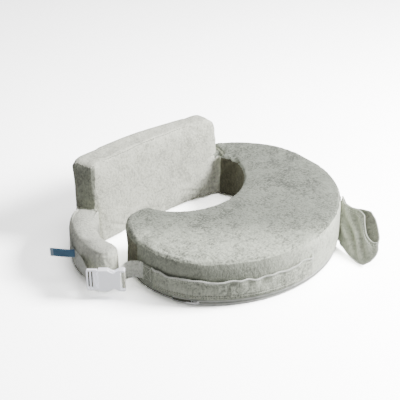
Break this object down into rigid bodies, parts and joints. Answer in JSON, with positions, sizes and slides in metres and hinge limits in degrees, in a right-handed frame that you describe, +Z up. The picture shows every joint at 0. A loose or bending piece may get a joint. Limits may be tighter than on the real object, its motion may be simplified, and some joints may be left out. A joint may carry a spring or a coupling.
{
  "type": "nursing pillow",
  "caption": "Wrap-round nursing pillow: a crescent foam cushion with a hinged backrest and side arm, closed round the waist by a strap and side-release buckle.",
  "frame": {"origin": "on the floor, under the middle of the front of the crescent, halfway across its band", "axes": "+Z up; -Y to the front of the crescent, away from the wearer; +Y to the backrest; -X to the buckle; +X to the side where the backrest joins the crescent"},
  "size_m": [0.5862, 0.4858, 0.18],
  "materials": {
    "foam": "open-cell polyurethane foam",
    "plush_top": "short-pile plush, brushed",
    "plush_side": "short-pile plush, brushed",
    "plush_light": "short-pile plush, brushed",
    "plush_dark": "short-pile plush, brushed",
    "binding": "gathered elastic binding",
    "thread": "spun polyester thread",
    "zip_tape": "woven zip tape",
    "zip_coil": "nylon coil",
    "zip_metal": "plated die-cast zinc",
    "buckle_white": "moulded acetal, satin",
    "label": "woven satin label, plain"
  },
  "bodies": {
    "crescent": {"crescent_foam": "foam", "crescent_top_panel": "plush_top", "crescent_bottom_panel": "plush_side", "crescent_outer_wall": "plush_side", "crescent_inner_wall": "plush_side", "neck_panel": "plush_side", "front_pocket": "plush_side", "pocket_binding": "binding", "pocket_stitching": "thread", "zip_tape_upper": "zip_tape", "zip_tape_lower": "zip_tape", "zip_coil_upper": "zip_coil", "zip_coil_lower": "zip_coil", "zip_end_stops": "zip_metal", "socket_strap": "plush_side", "socket_strap_stitching": "thread", "buckle_socket": "buckle_white", "pouch_seam_tape": "thread"},
    "backrest": {"backrest_foam": "foam", "backrest_front_panel": "plush_light", "backrest_back_panel": "plush_light", "backrest_boxing": "plush_light"},
    "arm": {"arm_foam": "foam", "arm_cover": "plush_light", "arm_end_panel": "plush_side", "arm_strap": "plush_side", "arm_strap_stitching": "thread", "buckle_plug": "buckle_white"},
    "upper_prong": {"prong_upper": "buckle_white"},
    "lower_prong": {"prong_lower": "buckle_white"},
    "slider": {"zip_slider": "zip_metal"},
    "pull": {"zip_pull": "zip_metal"},
    "pouch": {"side_pouch": "plush_side", "pouch_hem": "binding"},
    "tag": {"label_tag": "label"}
  },
  "joints": [
    {"name": "backrest_swing", "type": "hinge", "parent": "crescent", "child": "backrest", "pos_m": [0.1275, 0.319, 0], "axis": [0, 0, -1], "range_deg": [0, 70]},
    {"name": "arm_swing", "type": "hinge", "parent": "backrest", "child": "arm", "pos_m": [-0.2276, 0.3104, 0], "axis": [0, 0, -1], "range_deg": [0, 75]},
    {"name": "upper_prong_press", "type": "hinge", "parent": "arm", "child": "upper_prong", "pos_m": [-0.317, 0.1199, 0.0575], "axis": [0.6691, 0.7431, 0], "range_deg": [0, 9]},
    {"name": "lower_prong_press", "type": "hinge", "parent": "arm", "child": "lower_prong", "pos_m": [-0.317, 0.1199, 0.0305], "axis": [-0.6691, -0.7431, 0], "range_deg": [0, 9]},
    {"name": "zip_slide", "type": "hinge", "parent": "crescent", "child": "slider", "pos_m": [0, 0.153, 0.008], "axis": [0, 0, 1], "range_deg": [0, 86]},
    {"name": "zip_pull_flip", "type": "hinge", "parent": "slider", "child": "pull", "pos_m": [-0.19855, -0.02266, 0.008], "axis": [0, 0, 1], "range_deg": [0, 150]},
    {"name": "pouch_swing", "type": "hinge", "parent": "crescent", "child": "pouch", "pos_m": [0.20212, -0.01861, 0.05], "axis": [0, 0, 1], "range_deg": [0, 60]},
    {"name": "tag_flip", "type": "hinge", "parent": "arm", "child": "tag", "pos_m": [-0.30772, 0.20488, 0.056], "axis": [0, 0, 1], "range_deg": [-40, 50]}
  ],
  "couplings": [
    {"joint": "lower_prong_press", "follows": "upper_prong_press", "ratio": 1}
  ]
}
